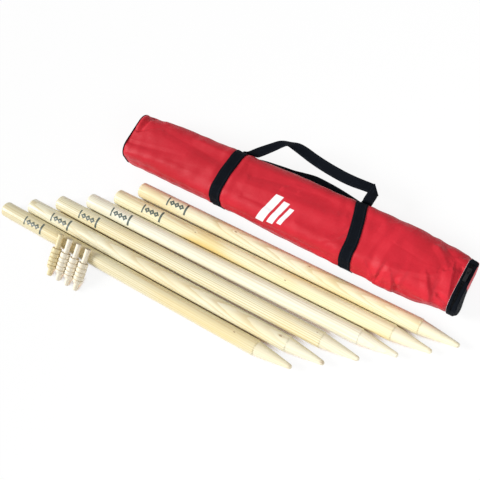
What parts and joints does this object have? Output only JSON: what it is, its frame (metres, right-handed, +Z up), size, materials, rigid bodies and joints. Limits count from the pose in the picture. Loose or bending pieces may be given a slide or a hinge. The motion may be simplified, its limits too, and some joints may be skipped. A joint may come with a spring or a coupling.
{
  "type": "cricket stump set",
  "caption": "Turned wooden cricket stumps with pointed ends and beaded bails, lying beside their long zipped carrying bag with webbing handles.",
  "frame": {"origin": "middle of the whole set's outline on the ground", "axes": "+X along the bag towards its zip end, +Y from the stumps towards the bag, +Z up"},
  "size_m": [0.9602, 0.463, 0.0842],
  "materials": {
    "stump_wood": "clear satin lacquer over pale wood",
    "bail_wood": "turned pale wood, satin",
    "red_cloth": "coated woven polyester",
    "black_piping": "thin sewn piping",
    "black_webbing": "woven webbing",
    "zip_tape": "woven zip tape",
    "zip_teeth": "moulded teeth",
    "zip_metal": "black enamel"
  },
  "bodies": {
    "bag": {"bag_shell": "red_cloth", "bag_closed_end": "red_cloth", "bag_end_piping": "black_piping", "bag_strap_left": "black_webbing", "bag_strap_right": "black_webbing", "bag_zip_tape_body": "zip_tape", "bag_zip_teeth_body": "zip_teeth", "bag_flap_hinge": "zip_tape", "bag_zip_stop_start": "zip_metal", "bag_zip_stop_end": "zip_metal"},
    "end_flap": {"bag_end_flap": "red_cloth", "bag_zip_tape_flap": "zip_tape", "bag_zip_teeth_flap": "zip_teeth"},
    "zip_slider": {"bag_zip_slider": "zip_metal"},
    "zip_puller": {"bag_zip_puller": "zip_metal"},
    "handle_upper": {"bag_handle_upper": "black_webbing"},
    "handle_lower": {"bag_handle_lower": "black_webbing"},
    "stump_1": {"stump_1": "stump_wood"},
    "stump_2": {"stump_2": "stump_wood"},
    "stump_3": {"stump_3": "stump_wood"},
    "stump_4": {"stump_4": "stump_wood"},
    "stump_5": {"stump_5": "stump_wood"},
    "stump_6": {"stump_6": "stump_wood"},
    "bail_1": {"bail_1": "bail_wood"},
    "bail_2": {"bail_2": "bail_wood"},
    "bail_3": {"bail_3": "bail_wood"},
    "bail_4": {"bail_4": "bail_wood"}
  },
  "joints": [
    {"name": "end_flap_hinge", "type": "hinge", "parent": "bag", "child": "end_flap", "pos_m": [0.44423, 0.15854, 0.038], "axis": [0, 0, 1], "range_deg": [0, 135]},
    {"name": "zip_run", "type": "slide", "parent": "bag", "child": "zip_slider", "axis": [0, -1, 0], "range_m": [0, 0.04]},
    {"name": "puller_hinge", "type": "hinge", "parent": "zip_slider", "child": "zip_puller", "pos_m": [0.44118, 0.12672, 0.07461], "axis": [-1, 0, 0], "range_deg": [0, 165]},
    {"name": "handle_upper_hinge", "type": "hinge", "parent": "bag", "child": "handle_upper", "pos_m": [0.07748, 0.16769, 0.06075], "axis": [0.9999, 0.0138, 0], "range_deg": [0, 100]},
    {"name": "handle_lower_hinge", "type": "hinge", "parent": "bag", "child": "handle_lower", "pos_m": [0.07748, 0.16291, 0.00963], "axis": [0.9999, 0.0138, 0], "range_deg": [0, 30]},
    {"name": "stump_1_lift", "type": "slide", "parent": "bag", "child": "stump_1", "axis": [0, 0, 1], "range_m": [0, 0.3]},
    {"name": "stump_2_lift", "type": "slide", "parent": "bag", "child": "stump_2", "axis": [0, 0, 1], "range_m": [0, 0.3]},
    {"name": "stump_3_lift", "type": "slide", "parent": "bag", "child": "stump_3", "axis": [0, 0, 1], "range_m": [0, 0.3]},
    {"name": "stump_4_lift", "type": "slide", "parent": "bag", "child": "stump_4", "axis": [0, 0, 1], "range_m": [0, 0.3]},
    {"name": "stump_5_lift", "type": "slide", "parent": "bag", "child": "stump_5", "axis": [0, 0, 1], "range_m": [0, 0.3]},
    {"name": "stump_6_lift", "type": "slide", "parent": "bag", "child": "stump_6", "axis": [0, 0, 1], "range_m": [0, 0.3]},
    {"name": "bail_1_lift", "type": "slide", "parent": "stump_1", "child": "bail_1", "axis": [0, 0, 1], "range_m": [0, 0.15]},
    {"name": "bail_2_lift", "type": "slide", "parent": "stump_1", "child": "bail_2", "axis": [0, 0, 1], "range_m": [0, 0.15]},
    {"name": "bail_3_lift", "type": "slide", "parent": "stump_1", "child": "bail_3", "axis": [0, 0, 1], "range_m": [0, 0.15]},
    {"name": "bail_4_lift", "type": "slide", "parent": "stump_1", "child": "bail_4", "axis": [0, 0, 1], "range_m": [0, 0.15]}
  ]
}
